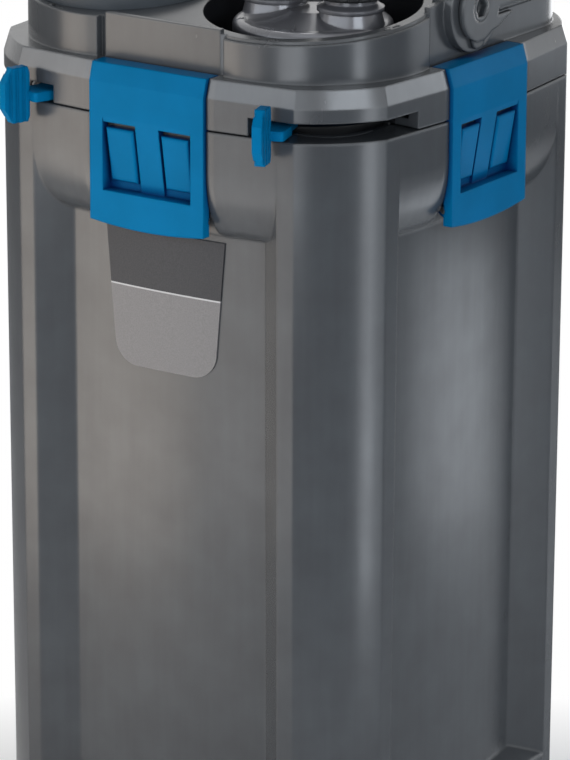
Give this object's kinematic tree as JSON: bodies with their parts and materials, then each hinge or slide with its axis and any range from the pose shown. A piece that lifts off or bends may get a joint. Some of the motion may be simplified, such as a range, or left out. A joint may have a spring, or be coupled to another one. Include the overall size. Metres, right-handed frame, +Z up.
{
  "type": "canister filter",
  "caption": "Tall square canister aquarium filter: container with clipped head, hose tails, lock levers, folding handle and stacked baskets inside.",
  "frame": {"origin": "on the floor under the middle of the square container", "axes": "+Z up, -Y is the front with the badge, +X to the right of the front"},
  "size_m": [0.2488, 0.2732, 0.512],
  "materials": {
    "dark_grey_plastic": "fine satin texture",
    "blue_plastic": "satin",
    "gloss_dark_plastic": "high gloss",
    "black_plastic": "satin",
    "black_rubber": "matt",
    "steel": "brushed",
    "copper": "enamelled wire",
    "ceramic": "ground",
    "magnet": "plain",
    "light_plastic": "satin",
    "foam": "open foam",
    "badge": "gloss film"
  },
  "bodies": {
    "filter": {"basket_1": "light_plastic", "basket_2": "light_plastic", "basket_3": "light_plastic", "basket_4": "light_plastic", "basket_bails": "light_plastic", "cable_gland": "black_plastic", "canister": "dark_grey_plastic", "clip_pins": "steel", "coupling_dome": "gloss_dark_plastic", "coupling_o_ring": "black_rubber", "deck_screws": "steel", "handle_pivot_bolts": "dark_grey_plastic", "head_casing": "dark_grey_plastic", "head_deck": "dark_grey_plastic", "head_seal": "black_rubber", "hose_tail_in": "black_plastic", "hose_tail_out": "black_plastic", "impeller_cover": "black_plastic", "impeller_shaft": "ceramic", "label_plate": "badge", "media_1": "foam", "media_2": "foam", "media_3": "foam", "media_4": "foam", "motor_housing": "black_plastic", "outlet_duct": "black_plastic", "prefilter_cage": "black_plastic", "prefilter_cap": "dark_grey_plastic", "prefilter_sponge": "foam", "riser_tube": "black_plastic", "rubber_feet": "black_rubber", "shaft_bushes": "ceramic", "stator_coil": "copper", "stator_core": "steel"},
    "clip_front": {"clip_front": "blue_plastic"},
    "clip_right": {"clip_right": "blue_plastic"},
    "clip_back": {"clip_back": "blue_plastic"},
    "clip_left": {"clip_left": "blue_plastic"},
    "coupling_lock": {"coupling_lock_lever": "blue_plastic", "coupling_valve_disc": "black_plastic"},
    "prefilter_lock": {"prefilter_lock_lever": "blue_plastic"},
    "carry_handle": {"handle": "dark_grey_plastic"},
    "impeller": {"rotor": "magnet"},
    "nut_in": {"hose_nut_in": "black_plastic"},
    "nut_out": {"hose_nut_out": "black_plastic"}
  },
  "joints": [
    {"name": "clip_front_hinge", "type": "hinge", "parent": "filter", "child": "clip_front", "pos_m": [0, -0.118, 0.353], "axis": [1, 0, 0], "range_deg": [0, 60]},
    {"name": "clip_right_hinge", "type": "hinge", "parent": "filter", "child": "clip_right", "pos_m": [0.118, 0, 0.353], "axis": [0, 1, 0], "range_deg": [0, 60]},
    {"name": "clip_back_hinge", "type": "hinge", "parent": "filter", "child": "clip_back", "pos_m": [0, 0.118, 0.353], "axis": [-1, 0, 0], "range_deg": [0, 60]},
    {"name": "clip_left_hinge", "type": "hinge", "parent": "filter", "child": "clip_left", "pos_m": [-0.118, 0, 0.353], "axis": [0, -1, 0], "range_deg": [0, 60]},
    {"name": "coupling_lock_turn", "type": "hinge", "parent": "filter", "child": "coupling_lock", "pos_m": [0.05, -0.05, 0.4], "axis": [0, 0, 1], "range_deg": [0, 55]},
    {"name": "prefilter_lock_turn", "type": "hinge", "parent": "filter", "child": "prefilter_lock", "pos_m": [-0.05, -0.05, 0.4], "axis": [0, 0, 1], "range_deg": [-50, 0]},
    {"name": "handle_swing", "type": "hinge", "parent": "filter", "child": "carry_handle", "pos_m": [0, 0, 0.451], "axis": [1, 0, 0], "range_deg": [0, 100]},
    {"name": "impeller_spin", "type": "hinge", "parent": "filter", "child": "impeller", "pos_m": [0, 0.042, 0.36], "axis": [0, 0, 1], "continuous": true},
    {"name": "nut_in_turn", "type": "hinge", "parent": "filter", "child": "nut_in", "pos_m": [0.0725, -0.05, 0.47], "axis": [0, 0, 1], "continuous": true},
    {"name": "nut_out_turn", "type": "hinge", "parent": "filter", "child": "nut_out", "pos_m": [0.0275, -0.05, 0.47], "axis": [0, 0, 1], "continuous": true}
  ]
}
